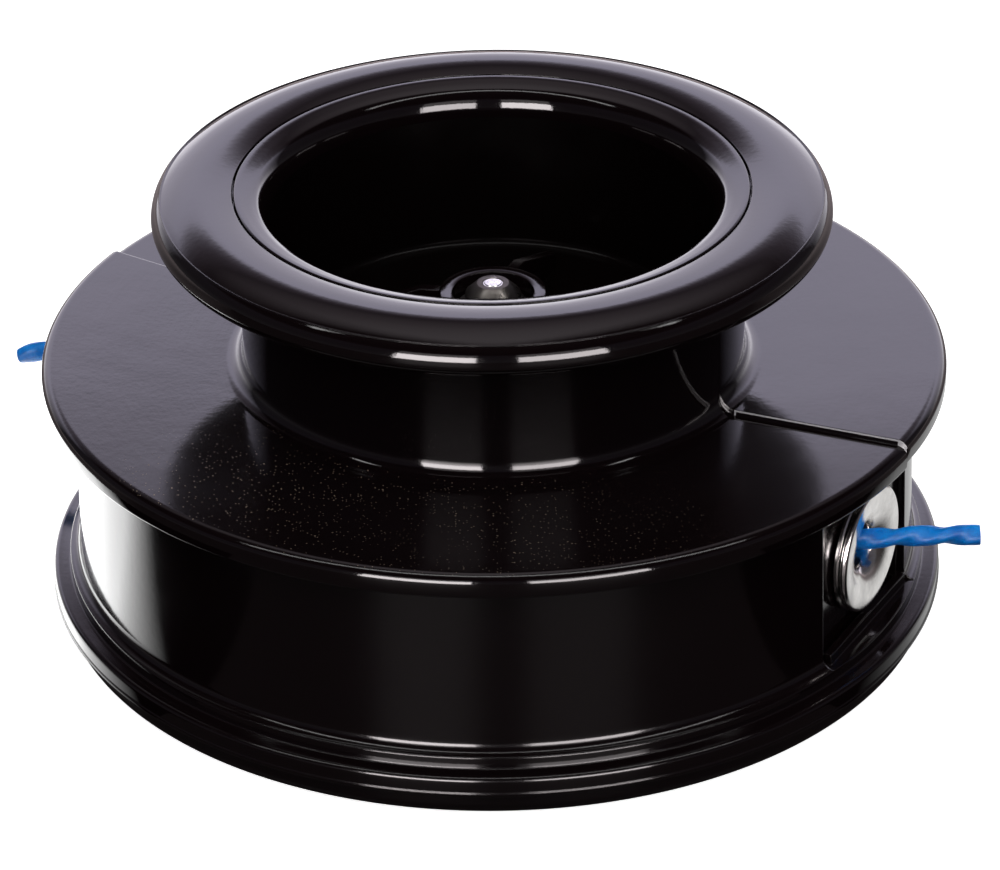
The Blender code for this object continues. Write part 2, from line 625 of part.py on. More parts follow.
def build_spring_stack(steel, spring_steel):
    """Thrust washer, spring, upper washer and retaining ring round the arbor."""
    inner = SHAFT_RADIUS + GAP
    bottom = SHOULDER_TOP + GAP
    for name, low in (("thrust_washer", bottom), ("spring_washer", SPRING_TOP + GAP)):
        high = low + STACK_WASHER
        turned(name, [(inner, low), (STACK_OUTER, low), (STACK_OUTER, high), (inner, high)], steel, 20)
    low = CLIP_GROOVE_BOTTOM + GAP
    high = low + CLIP_THICKNESS
    clip_inner = CLIP_GROOVE_RADIUS + GAP
    ring = turned(
        "retaining_ring", [(clip_inner, low), (CLIP_RADIUS, low), (CLIP_RADIUS, high), (clip_inner, high)], steel, 20
    )
    slit = block("ring_tool", (2.0, -1.3, low - 1.0), (8.0, 1.3, high + 1.0), steel, 75.0)
    combine(ring, slit, "DIFFERENCE")
    build_spring(bottom + STACK_WASHER + GAP, SPRING_TOP, spring_steel)


def build_spring(bottom, top, material):
    mean_radius = (SHAFT_RADIUS + BOSS_BORE) / 2
    low = bottom + SPRING_WIRE / 2
    rise = top - SPRING_WIRE / 2 - low
    count = int(SPRING_TURNS * 11) + 1
    points = []
    for index in range(count):
        share = index / (count - 1)
        turn = math.tau * SPRING_TURNS * share
        points.append((mean_radius * math.cos(turn), mean_radius * math.sin(turn), low + rise * share))
    make_tube("compression_spring", points, SPRING_WIRE, material, 1)


def make_tube(name, points, diameter, material, resolution):
    """A round tube along points, with closed ends."""
    curve = bpy.data.curves.new(name, "CURVE")
    curve.dimensions = "3D"
    curve.bevel_depth = diameter / 2 * MM
    curve.bevel_resolution = resolution
    curve.use_fill_caps = True
    spline = curve.splines.new("POLY")
    spline.points.add(len(points) - 1)
    for place, (x, y, z) in zip(spline.points, points):
        place.co = (x * MM, y * MM, z * MM, 1.0)
    curve.materials.append(material)
    item = bpy.data.objects.new(name, curve)
    bpy.context.collection.objects.link(item)
    return item


def smooth_route(anchors, count):
    """Reads evenly spread points from a smooth curve through the anchors."""
    padded = [anchors[0], *anchors, anchors[-1]]
    places = []
    spans = len(anchors) - 1
    for index in range(count):
        at = min(index / (count - 1) * spans, spans - 1e-9)
        span = int(at)
        t = at - span
        p, q, r, s = (Vector(padded[span + step]) for step in range(4))
        place = 0.5 * (
            2 * q + (r - p) * t + (2 * p - 5 * q + 4 * r - s) * t ** 2 + (3 * q - p - 3 * r + s) * t ** 3
        )
        places.append(tuple(place))
    return places


def build_line_ends(material):
    """The two free ends of the line, from the wound line out through the eyelets."""
    make_tube("line_end_right", smooth_route(LINE_RIGHT, LINE_POINTS), LINE_DIAMETER, material, 2)
    make_tube("line_end_left", smooth_route(LINE_LEFT, LINE_POINTS), LINE_DIAMETER, material, 2)


def place_axis(name, parts):
    """An empty on the axis that carries the pieces moving together."""
    carrier = bpy.data.objects.new(name, None)
    bpy.context.collection.objects.link(carrier)
    for part in parts:
        bpy.data.objects[part].parent = carrier
    return carrier


def main():
    clear_scene()
    black = make_material("gloss_black_plastic", BLACK_PLASTIC, 0.12)
    inner_black = make_material("inner_black_plastic", DARK_PLASTIC, 0.25)
    steel = make_material("zinc_steel", STEEL, 0.35, 1.0)
    bright = make_material("polished_steel", BRIGHT_STEEL, 0.08, 1.0)
    spring_steel = make_material("spring_steel", SPRING_STEEL, 0.3, 1.0)
    line = make_material("blue_line", LINE_BLUE, 0.35)
    build_drum(black)
    build_cover(black)
    build_cover_screws(steel)
    build_arbor(steel)
    build_arbor_fixings(steel)
    for side, angle in zip(("right", "left"), pocket_angles()):
        build_eyelet(side, angle, bright)
    ramped("knob_shell", shell_outline(), black, 0.0)
    build_cup(black)
    build_spool(inner_black)
    build_spool_screws(steel)
    build_wound_line(line)
    build_spring_stack(steel, spring_steel)
    build_line_ends(line)
    screws = [f"spool_screw_{number}" for number in range(1, SPOOL_SCREWS + 1)]
    place_axis("knob_axis", ["knob_shell", "knob_cup", "spool", "wound_line", *screws])
    place_axis("lift_axis", ["thrust_washer"])


main()
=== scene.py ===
import json
import math

import bmesh
import bpy
from mathutils import Matrix, Vector


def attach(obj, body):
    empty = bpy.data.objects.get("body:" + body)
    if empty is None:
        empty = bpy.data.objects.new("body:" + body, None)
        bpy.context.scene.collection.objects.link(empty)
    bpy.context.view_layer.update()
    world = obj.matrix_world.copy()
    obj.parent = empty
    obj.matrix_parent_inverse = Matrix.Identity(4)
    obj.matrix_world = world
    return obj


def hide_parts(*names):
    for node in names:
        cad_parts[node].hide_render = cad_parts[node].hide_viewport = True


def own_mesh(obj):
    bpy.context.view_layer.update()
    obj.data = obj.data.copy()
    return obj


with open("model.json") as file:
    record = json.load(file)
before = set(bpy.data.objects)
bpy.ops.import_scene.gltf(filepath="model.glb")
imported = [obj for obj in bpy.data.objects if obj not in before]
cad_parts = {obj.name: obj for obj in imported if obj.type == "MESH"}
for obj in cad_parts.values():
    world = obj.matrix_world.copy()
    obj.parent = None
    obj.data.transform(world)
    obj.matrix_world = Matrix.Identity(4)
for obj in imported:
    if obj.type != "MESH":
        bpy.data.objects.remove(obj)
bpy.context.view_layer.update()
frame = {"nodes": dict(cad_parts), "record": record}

mm = 0.001
scene = bpy.context.scene
scene.view_settings.view_transform = "Standard"


# camera, at the photograph's place

camera = {
    "eye": (0.0, -0.61305, 0.36703),
    "down": 29.23,     # degrees below level
    "yaw": 0.07,
    "roll": -0.70,
    "lens": 173.91,
    "sensor": 36.0,
}


def makeCamera(spec):
    down, yaw, roll = (math.radians(spec[key]) for key in ("down", "yaw", "roll"))
    ahead = Vector((math.sin(yaw) * math.cos(down), math.cos(yaw) * math.cos(down), -math.sin(down)))
    right = ahead.cross(Vector((0, 0, 1))).normalized()
    up = right.cross(ahead)
    turnedRight = right * math.cos(roll) + up * math.sin(roll)
    turnedUp = up * math.cos(roll) - right * math.sin(roll)
    data = bpy.data.cameras.new("camera")
    data.lens = spec["lens"]
    data.sensor_width = spec["sensor"]
    data.clip_start = 0.02
    data.clip_end = 20.0
    item = bpy.data.objects.new("camera", data)
    scene.collection.objects.link(item)
    turn = Matrix((turnedRight, turnedUp, -ahead)).transposed()
    item.matrix_world = Matrix.Translation(spec["eye"]) @ turn.to_4x4()
    scene.camera = item


makeCamera(camera)
print("camera placed")


# node helpers

def newMaterial(name):
    material = bpy.data.materials.new(name)
    material.use_nodes = True
    tree = material.node_tree
    tree.nodes.clear()
    return material, tree


def addNode(tree, kind, values=None, **settings):
    node = tree.nodes.new(kind)
    for key, value in settings.items():
        setattr(node, key, value)
    for key, value in (values or {}).items():
        setInput(tree, node.inputs[key], value)
    return node


def setInput(tree, socket, value):
    if isinstance(value, bpy.types.NodeSocket):
        tree.links.new(value, socket)
    else:
        socket.default_value = value


def rgba(colour):
    return (*colour, 1.0)


def objectPoint(tree):
    return addNode(tree, "ShaderNodeTexCoord").outputs["Object"]


def noise(tree, point, scale, detail=3.0, roughness=0.5):
    values = {"Vector": point, "Scale": scale, "Detail": detail, "Roughness": roughness}
    return addNode(tree, "ShaderNodeTexNoise", values).outputs["Fac"]


def spread(tree, value, low, high, newLow=0.0, newHigh=1.0):
    values = {"Value": value, "From Min": low, "From Max": high, "To Min": newLow, "To Max": newHigh}
    return addNode(tree, "ShaderNodeMapRange", values).outputs["Result"]


def calc(tree, operation, first, second=0.0):
    return addNode(tree, "ShaderNodeMath", {0: first, 1: second}, operation=operation).outputs["Value"]


def mixColour(tree, share, first, second):
    return addNode(tree, "ShaderNodeMix", {0: share, 6: first, 7: second}, data_type="RGBA").outputs[2]


def stretched(tree, point, scale):
    values = {"Vector": point, "Scale": scale}
    return addNode(tree, "ShaderNodeMapping", values).outputs["Vector"]


def bumped(tree, height, strength, distance, normal=None):
    values = {"Height": height, "Strength": strength, "Distance": distance}
    if normal:
        values["Normal"] = normal
    return addNode(tree, "ShaderNodeBump", values).outputs["Normal"]


def specks(tree, point, scale, size, density):
    # small round spots, only some of the cells get one
    cells = addNode(tree, "ShaderNodeTexVoronoi", {"Vector": point, "Scale": scale})
    near = calc(tree, "LESS_THAN", cells.outputs["Distance"], size)
    split = addNode(tree, "ShaderNodeSeparateColor", {"Color": cells.outputs["Color"]})
    chosen = calc(tree, "LESS_THAN", split.outputs["Red"], density)
    return calc(tree, "MULTIPLY", near, chosen)


def finishSurface(tree, values):
    shader = addNode(tree, "ShaderNodeBsdfPrincipled", values)
    output = addNode(tree, "ShaderNodeOutputMaterial")
    tree.links.new(shader.outputs["BSDF"], output.inputs["Surface"])


# materials

glossBlack = {"colour": (0.0036, 0.0017, 0.0021), "dust": (0.34, 0.26, 0.19), "rough": 0.05, "edge": 0.0003}
drumBlack = {**glossBlack, "rough": 0.10}
# painted shade: a darker colour and weaker reflection for the lower inside of the cup, with a rougher
# surface
cupShadeBlack = {**glossBlack, "colour": (0.0018, 0.0010, 0.0010), "rough": 0.20, "shine": 0.12}
# painted highlight: a pale grey colour for the step faces where the ramps meet, standing in for their
# reflection
stepHighlightBlack = {**glossBlack, "colour": (0.45, 0.43, 0.45), "rough": 0.25}


# where dust lies: each pair goes from bare to dusty, places in metres
dust = {
    "level": (0.80, 0.97),
    "front": (-0.008, -0.042),
    "left": (0.030, -0.020),
    "under": (0.048, 0.042),
    "above": (0.015, 0.030),
    "frontLeast": 0.03,
    "leftLeast": 0.12,
    "fineSpecks": (2000.0, 0.17, 0.45),      # scale, size and share of the cells
    "coarseSpecks": (900.0, 0.11, 0.28),
    "cover": 0.8,
    "dull": 0.4,
    "hazeDull": 0.11,
}


def dustMask(tree, point):
    # a haze on the flange, most of it at the front, and where specks lie in it
    normal = addNode(tree, "ShaderNodeNewGeometry").outputs["Normal"]
    facing = addNode(tree, "ShaderNodeSeparateXYZ", {0: normal})
    place = addNode(tree, "ShaderNodeSeparateXYZ", {0: point})
    level = spread(tree, facing.outputs["Z"], *dust["level"])
    front = spread(tree, place.outputs["Y"], *dust["front"], dust["frontLeast"], 1.0)
    left = spread(tree, place.outputs["X"], *dust["left"], dust["leftLeast"], 1.0)
    under = spread(tree, place.outputs["Z"], *dust["under"])
    above = spread(tree, place.outputs["Z"], *dust["above"])
    flange = calc(tree, "MULTIPLY", under, above)
    haze = calc(tree, "MULTIPLY", calc(tree, "MULTIPLY", level, front), flange)
    return haze, calc(tree, "MULTIPLY", haze, left)


def turnedRings(tree, point):
    # faint rings left by turning the mould
    place = addNode(tree, "ShaderNodeSeparateXYZ", {0: point})
    flat = addNode(tree, "ShaderNodeCombineXYZ", {0: place.outputs["X"], 1: place.outputs["Y"]}).outputs[0]
    radius = addNode(tree, "ShaderNodeVectorMath", {0: flat}, operation="LENGTH").outputs["Value"]
    high = calc(tree, "MULTIPLY", place.outputs["Z"], 0.15)
    ring = addNode(tree, "ShaderNodeCombineXYZ", {0: radius, 1: high}).outputs[0]
    return noise(tree, ring, 1300.0, 3.0, 0.65)


def makeGlossBlack(name, spec):
    material, tree = newMaterial(name)
    point = objectPoint(tree)
    cloud = noise(tree, point, 70.0, 4.0)
    fine = noise(tree, point, 1100.0, 3.0, 0.6)
    fineSpots = specks(tree, point, *dust["fineSpecks"])
    spots = calc(tree, "MAXIMUM", fineSpots, specks(tree, point, *dust["coarseSpecks"]))
    patchy = spread(tree, noise(tree, point, 45.0, 3.0), 0.40, 0.62, 0.15, 1.0)
    haze, mask = dustMask(tree, point)
    dusty = calc(tree, "MULTIPLY", calc(tree, "MULTIPLY", spots, patchy), mask)
    rough = spread(tree, cloud, 0.3, 0.75, spec["rough"] * 0.8, spec["rough"] * 1.6)
    rough = calc(tree, "ADD", rough, calc(tree, "MULTIPLY", dusty, dust["dull"]))
    rough = calc(tree, "ADD", rough, calc(tree, "MULTIPLY", haze, dust["hazeDull"]))
    covered = calc(tree, "MULTIPLY", dusty, dust["cover"])
    colour = mixColour(tree, covered, rgba(spec["colour"]), rgba(spec["dust"]))
    softEdge = addNode(tree, "ShaderNodeBevel", {"Radius": spec["edge"]}, samples=6).outputs["Normal"]
    wavy = bumped(tree, cloud, 0.05, 0.0006, softEdge)
    ringed = bumped(tree, turnedRings(tree, point), 0.016, 0.0003, wavy)
    normal = bumped(tree, fine, 0.02, 0.0003, ringed)
    values = {"Base Color": colour, "Roughness": rough, "IOR": 1.52, "Normal": normal}
    values["Specular IOR Level"] = spec.get("shine", 0.5)
    finishSurface(tree, values)
    return material


satinBlack = {"colour": (0.012, 0.011, 0.0125), "rough": 0.35}


def makeSatinBlack(name, spec):
    material, tree = newMaterial(name)
    point = objectPoint(tree)
    grain = noise(tree, point, 1400.0, 3.0, 0.6)
    rough = spread(tree, noise(tree, point, 80.0), 0.3, 0.7, spec["rough"] * 0.8, spec["rough"] * 1.3)
    normal = bumped(tree, grain, 0.15, 0.0003)
    finishSurface(tree, {"Base Color": rgba(spec["colour"]), "Roughness": rough, "Normal": normal})
    return material


polished = {"colour": (0.86, 0.84, 0.82), "rough": 0.13, "grain": (1.0, 1.0, 1.0)}
plated = {"colour": (0.52, 0.52, 0.53), "rough": 0.28, "grain": (1.0, 1.0, 1.0)}
machined = {"colour": (0.24, 0.22, 0.205), "rough": 0.34, "grain": (1.0, 1.0, 0.12)}
wire = {"colour": (0.36, 0.35, 0.34), "rough": 0.3, "grain": (1.0, 1.0, 1.0)}


def makeMetal(name, spec):
    material, tree = newMaterial(name)
    point = stretched(tree, objectPoint(tree), spec["grain"])
    cloud = noise(tree, point, 300.0, 4.0, 0.6)
    grain = noise(tree, point, 2600.0, 2.0)
    scratch = noise(tree, stretched(tree, point, (0.25, 1.0, 3.0)), 3000.0, 2.0, 0.7)
    rough = spread(tree, cloud, 0.3, 0.75, spec["rough"] * 0.6, spec["rough"] * 1.7)
    darker = tuple(part * 0.80 for part in spec["colour"])
    colour = mixColour(tree, spread(tree, cloud, 0.40, 0.70), rgba(spec["colour"]), rgba(darker))
    normal = bumped(tree, scratch, 0.06, 0.0002, bumped(tree, grain, 0.04, 0.0002))
    finishSurface(tree, {"Base Color": colour, "Metallic": 1.0, "Roughness": rough, "Normal": normal})
    return material


lineBlue = {"colour": (0.0, 0.155, 0.60), "pale": (0.0, 0.27, 0.82), "rough": 0.34, "shine": 0.2}


def makeLine(name, spec):
    material, tree = newMaterial(name)
    point = objectPoint(tree)
    cloud = noise(tree, point, 500.0, 4.0, 0.6)
    scuff = noise(tree, point, 2200.0, 3.0, 0.6)
    colour = mixColour(tree, spread(tree, cloud, 0.35, 0.7), rgba(spec["colour"]), rgba(spec["pale"]))
    rough = spread(tree, scuff, 0.3, 0.7, spec["rough"] * 0.6, spec["rough"] * 1.6)
    values = {"Base Color": colour, "Roughness": rough, "Normal": bumped(tree, scuff, 0.2, 0.0002)}
    values["Specular IOR Level"] = spec["shine"]
    values["Subsurface Weight"] = 0.15
    values["Subsurface Radius"] = (0.3, 0.6, 1.0)
    values["Subsurface Scale"] = 0.0008
    finishSurface(tree, values)
    return material


glossMaterial = makeGlossBlack("glossBlackPlastic", glossBlack)
drumMaterial = makeGlossBlack("drumBlackPlastic", drumBlack)
cupShadeMaterial = makeGlossBlack("paintedShadePlastic", cupShadeBlack)
stepHighlightMaterial = makeGlossBlack("paintedHighlightPlastic", stepHighlightBlack)
satinMaterial = makeSatinBlack("satinBlackPlastic", satinBlack)
polishedMaterial = makeMetal("polishedSteel", polished)
platedMaterial = makeMetal("platedSteel", plated)
machinedMaterial = makeMetal("machinedSteel", machined)
wireMaterial = makeMetal("springWire", wire)
lineMaterial = makeLine("blueLine", lineBlue)
print("materials made")


# carried-over nodes get the procedural materials of their slots

slotMaterials = {
    "gloss_black_plastic": glossMaterial,
    "inner_black_plastic": satinMaterial,
    "zinc_steel": platedMaterial,
    "polished_steel": polishedMaterial,
    "spring_steel": wireMaterial,
    "blue_line": lineMaterial,
}

for subpart in frame["record"]["subparts"]:
    node = frame["nodes"][subpart["node"]]
    for place in node.material_slots:
        place.material = slotMaterials[subpart["material_slot"]]
print("nodes painted")


# mesh helpers, outlines in millimetres as radius and height

ramp = {"rise": 0.8, "starts": 2, "angle": -28.5, "width": 0.15, "edge": 0.7, "play": 0.4}


def arc(centre, radius, first, last, count):
    points = []
    for index in range(count):
        angle = math.radians(first + (last - first) * index / (count - 1))
        points.append((centre[0] + radius * math.cos(angle), centre[1] + radius * math.sin(angle)))
    return points


def raised(points, share):
    return [(radius, height, share) for radius, height in points]


def spinOutline(outline, steps):
    # a plain turned shape
    mesh = bmesh.new()
    rings = []
    for index in range(steps):
        turn = math.tau * index / steps
        side = (math.cos(turn), math.sin(turn))
        rings.append([mesh.verts.new((r * mm * side[0], r * mm * side[1], z * mm)) for r, z in outline])
    joinRings(mesh, rings)
    return mesh


def spinRamped(outline, steps, play):
    # points with a share of 1 climb the face ramps
    mesh = bmesh.new()
    perStart = steps // ramp["starts"]
    sweep = 360.0 / ramp["starts"] - ramp["width"]
    turns = []
    for start in range(ramp["starts"]):
        first = ramp["angle"] + play + ramp["width"] / 2 + start * 360.0 / ramp["starts"]
        for place in range(perStart):
            along = place / (perStart - 1)
            turns.append((first + along * sweep, 1.0 - along))
        turns.append((first + sweep + ramp["edge"] * ramp["width"], ramp["edge"]))
    rings = []
    for angle, share in turns:
        turn = math.radians(angle)
        across, ahead = mm * math.cos(turn), mm * math.sin(turn)
        lift = ramp["rise"] * share
        places = [(r * across, r * ahead, (z + up * lift) * mm) for r, z, up in outline]
        rings.append([mesh.verts.new(place) for place in places])
    joinRings(mesh, rings)
    return mesh


def joinRings(mesh, rings):
    for ring, following in zip(rings, rings[1:] + rings[:1]):
        for index in range(len(ring)):
            other = (index + 1) % len(ring)
            mesh.faces.new((ring[index], following[index], following[other], ring[other]))
    bmesh.ops.remove_doubles(mesh, verts=mesh.verts, dist=1e-7)


def joinTube(mesh, rings):
    sides = len(rings[0])
    for ring, following in zip(rings, rings[1:]):
        for index in range(sides):
            other = (index + 1) % sides
            mesh.faces.new((ring[index], following[index], following[other], ring[other]))
    mesh.faces.new(rings[0])
    mesh.faces.new(rings[-1])


def makeItem(name, mesh, material, place=None):
    if place:
        bmesh.ops.transform(mesh, matrix=place, verts=mesh.verts)
    bmesh.ops.recalc_face_normals(mesh, faces=mesh.faces)
    data = bpy.data.meshes.new(name)
    mesh.to_mesh(data)
    mesh.free()
    data.materials.append(material)
    item = bpy.data.objects.new(name, data)
    scene.collection.objects.link(item)
    return item


def boxTool(low, high, material, angle=0.0):
    mesh = bmesh.new()
    bmesh.ops.create_cube(mesh, size=1.0)
    bmesh.ops.scale(mesh, vec=[(b - a) * mm for a, b in zip(low, high)], verts=mesh.verts)
    bmesh.ops.translate(mesh, vec=[(a + b) / 2 * mm for a, b in zip(low, high)], verts=mesh.verts)
    return makeItem("tool", mesh, material, Matrix.Rotation(math.radians(angle), 4, "Z"))


def postTool(radius, bottom, top, material, place=(0.0, 0.0), sides=64):
    mesh = bmesh.new()
    middle = Matrix.Translation((place[0] * mm, place[1] * mm, (top + bottom) / 2 * mm))
    size = {"radius1": radius * mm, "radius2": radius * mm, "depth": (top - bottom) * mm}
    bmesh.ops.create_cone(mesh, cap_ends=True, segments=sides, matrix=middle, **size)
    return makeItem("tool", mesh, material)


def carve(item, tool, operation="DIFFERENCE"):
    change = item.modifiers.new("carve", "BOOLEAN")
    change.operation = operation
    change.solver = "EXACT"
    change.object = tool
    shape = bpy.data.meshes.new_from_object(item.evaluated_get(bpy.context.evaluated_depsgraph_get()))
    item.modifiers.clear()
    item.data = shape
    bpy.data.objects.remove(tool)


def settle(item, body, nodes=(), sharp=32.0):
    item.data.shade_smooth()
    item.data.set_sharp_from_angle(angle=math.radians(sharp))
    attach(item, body)
    if nodes:
        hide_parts(*nodes)


def outwards(angle, radius, height):
    # the way out of an eyelet, its own z axis pointing outwards
    turn = math.radians(angle)
    spot = (radius * mm * math.cos(turn), radius * mm * math.sin(turn), height * mm)
    tipped = Matrix.Rotation(turn, 4, "Z") @ Matrix.Rotation(math.radians(90), 4, "Y")
    return Matrix.Translation(spot) @ tipped


# knob: flange, neck and rolled rim

shell = {
    "flangeRadius": 65.0,
    "flangeTop": 38.5,
    "flangeBottom": 35.1,
    "dish": 1.55,
    "rimRound": 1.5,
    "neckRadius": 36.04,
    "fillet": 2.6,
    "crown": (41.4, 65.14),
    "crownBend": (18.5, 11.3),    # radius of the crown inside and outside its top
    "rollCentre": (44.95, 61.16),
    "rollRadius": 3.3,
    "rollDrop": 2.4,
    "seam": 54.0,       # mould line on the roll, degrees above level
    "seamHeight": 0.1,
    "seamEdge": [(0.0, 1.0), (0.7, 0.92), (1.3, 0.7), (1.8, 0.4), (2.4, 0.15), (3.2, 0.0)],
    "seatRadius": 36.8,
    "seatBottom": 61.7,
    "bore": 33.6,
    "rampInner": 55.8,
    "inside": 35.8,
}


def shellCrown(spec, last):
    # convex all the way across, highest between the mouth and the mould line
    top, height = spec["crown"]
    points = []
    for index in range(33):
        radius = spec["seatRadius"] + (last - spec["seatRadius"]) * index / 32
        bend = spec["crownBend"][radius > top]
        points.append((radius, height - bend + math.sqrt(bend ** 2 - (radius - top) ** 2)))
    return points


def shellRoll(spec):
    # the crown ends a step proud of the roll
    centre, radius, seam, height = (spec[key] for key in ("rollCentre", "rollRadius", "seam", "seamHeight"))
    step = []
    for past, share in spec["seamEdge"]:
        step.append(arc(centre, radius + height * share, seam - past, seam - past - 1.0, 2)[0])
    upper = arc(centre, radius, seam - 5.0, 0, 22)
    lower = []
    for index in range(1, 22):
        turn = math.radians(-90 * index / 21)
        lower.append((centre[0] + radius * math.cos(turn), centre[1] + spec["rollDrop"] * math.sin(turn)))
    return step + upper + lower


def makeShell(spec):
    roll = shellRoll(spec)
    under = spec["rollCentre"][1] - spec["rollDrop"]
    neck, fillet = spec["neckRadius"], spec["fillet"]
    rim, rimRound = spec["flangeRadius"], spec["rimRound"]
    neckFoot = spec["flangeTop"] - spec["dish"]
    upper = shellCrown(spec, roll[0][0] - 0.12) + roll
    upper += arc((neck + 0.8, under - 0.8), 0.8, 90, 180, 7)
    lower = arc((neck + fillet, neckFoot + fillet), fillet, 180, 270, 18)
    lower += arc((rim - rimRound, spec["flangeTop"] - rimRound), rimRound, 90, 0, 14)
    lower += arc((rim - 0.35, spec["flangeBottom"] + 0.35), 0.35, 0, -90, 5)
    lower += [(spec["rampInner"], spec["flangeBottom"])]
    inner = [(spec["rampInner"] - 0.4, spec["inside"]), (spec["bore"] + 0.5, spec["inside"])]
    inner += [(spec["bore"], spec["inside"] + 0.5), (spec["bore"], spec["seatBottom"])]
    inner += [(spec["seatRadius"], spec["seatBottom"])]
    outline = raised(upper, 0.0) + raised(lower, 1.0) + raised(inner, 0.0)
    item = makeItem("knobShell", spinRamped(outline, 360, 0.0), glossMaterial)
    item.data.materials.append(stepHighlightMaterial)
    for face in item.data.polygons:
        x, y, z = face.center
        radius = math.hypot(x, y)
        across = (x * face.normal.y - y * face.normal.x) / radius
        thin = face.area < 0.3 * ramp["rise"] * mm * (rim - neck) * mm
        paintedHighlight = abs(across) > 0.9 and z > 0.0365 and radius > 0.0385 and thin
        face.material_index = int(paintedHighlight)    # painted highlight: pale grey on the step faces where the ramps meet
    settle(item, "knob", ["knob_shell"])


makeShell(shell)
print("knob shell made")


# knob cup with boss and ribs

cup = {
    "lipRadius": 36.5,
    "lipBottom": 62.0,
    "lipTop": 64.62,
    "mouth": (33.27, 63.75),
    "wallTop": (31.7, 60.0),
    "wallBottom": 30.5,
    "wall": 1.6,
    "floor": 39.8,
    "floorBottom": 37.6,
    "floorRound": 1.3,
    "bossRadius": 7.65,
    "bossBore": 5.8,
    "bossTop": 47.7,
    "bossBottom": 31.2,
    "shoulder": (4.4, 33.2),
    "shadeTop": 59.5,      # painted shade inside, a darker colour with weaker reflection and a rougher surface, below this and outside this or on the floor
    "shadeRadius": 29.0,
    "shadeFloor": 40.2,
}

rib = {
    "angles": (69.0, 169.0, 299.0),
    "thickness": 1.6,
    "top": 47.4,
    "flatEnd": 10.5,
    "endTop": 42.3,
    "end": 23.9,
}


def cupOutline(spec):
    corner = spec["floorRound"]
    shoulderRadius, shoulderTop = spec["shoulder"]
    outline = [(spec["lipRadius"], spec["lipBottom"])]
    outline += arc((spec["lipRadius"] - 0.25, spec["lipTop"] - 0.25), 0.25, 0, 85, 5)
    outline += [(35.4, 64.42), (34.6, 64.235), (34.2, 64.13), (33.9, 64.02), (33.55, 63.87), spec["mouth"]]
    outline += [(32.95, 63.45), (32.62, 63.05), (32.35, 62.6), (32.1, 62.05), (31.9, 61.4), (31.77, 60.7)]
    outline += [spec["wallTop"]]
    outline += arc((spec["wallBottom"] - corner, spec["floor"] + corner), corner, 0, -90, 8)
    outline += arc((spec["bossRadius"] + 0.5, spec["floor"] + 0.5), 0.5, 270, 180, 5)
    outline += arc((spec["bossRadius"] - 0.12, spec["bossTop"] - 0.12), 0.12, 0, 90, 4)
    outline += arc((spec["bossBore"] + 0.12, spec["bossTop"] - 0.12), 0.12, 90, 180, 4)
    outline += [(spec["bossBore"], shoulderTop), spec["shoulder"], (shoulderRadius, spec["bossBottom"])]
    outline += [(spec["bossRadius"], spec["bossBottom"]), (spec["bossRadius"], spec["floorBottom"])]
    outline += [(spec["wallBottom"] - 0.8, spec["floorBottom"])]
    outline += [(spec["wallBottom"] + spec["wall"], spec["floor"])]
    return outline + [(spec["wallTop"][0] + spec["wall"], spec["lipBottom"])]


def ribTool(angle, spec, floor):
    half = spec["thickness"] / 2
    start = cup["bossRadius"] - 0.8
    side = [(start, floor - 1.0), (start, spec["top"]), (spec["flatEnd"], spec["top"])]
    side += [(spec["end"], spec["endTop"]), (spec["end"], floor - 1.0)]
    mesh = bmesh.new()
    face = mesh.faces.new([mesh.verts.new((r * mm, -half * mm, z * mm)) for r, z in side])
    moved = bmesh.ops.extrude_face_region(mesh, geom=[face])
    corners = [part for part in moved["geom"] if isinstance(part, bmesh.types.BMVert)]
    bmesh.ops.translate(mesh, vec=(0.0, 2 * half * mm, 0.0), verts=corners)
    return makeItem("tool", mesh, glossMaterial, Matrix.Rotation(math.radians(angle), 4, "Z"))


def makeCup(spec, ribSpec):
    item = makeItem("knobCup", spinOutline(cupOutline(spec), 240), glossMaterial)
    for angle in ribSpec["angles"]:
        carve(item, ribTool(angle, ribSpec, spec["floor"]), "UNION")
    item.data.materials.clear()
    item.data.materials.append(glossMaterial)
    item.data.materials.append(cupShadeMaterial)
    # painted shade: the lower wall and the floor inside the cup get the darker material
    for face in item.data.polygons:
        x, y, z = face.center
        byWall = math.hypot(x, y) > spec["shadeRadius"] * mm
        onFloor = z < spec["shadeFloor"] * mm
        face.material_index = int(z < spec["shadeTop"] * mm and (byWall or onFloor))
    settle(item, "knob", ["knob_cup"])


makeCup(cup, rib)
print("knob cup made")


# drum with its eyelet pockets

drum = {
    "foot": 64.88,
    "footBottom": 3.9,
    "footTop": 6.9,
    "footRound": 0.75,
    "lip": 0.12,
    "ledge": (62.4, 8.7),
    "flare": 1.6,
    "wallTop": 60.2,
    "wallInner": 58.1,
    "rimTop": 34.8,
    "rimInner": 56.6,
    "floorTop": 11.2,
    "floorBottom": 8.8,
    "hub": (11.0, 13.7),
    "hole": 7.3,
}

pocket = {
    "back": 57.9,
    "half": 13.8,
    "bottom": 8.6,
    "padInner": 55.2,
    "padHalf": 14.9,
    "padBottom": 10.2,
    "padTop": 32.4,
    "sill": (58.7, 59.9),
    "sillHalf": 12.6,
    "sillTop": 10.2,
    "height": 21.0,
    "hole": 4.6,
}


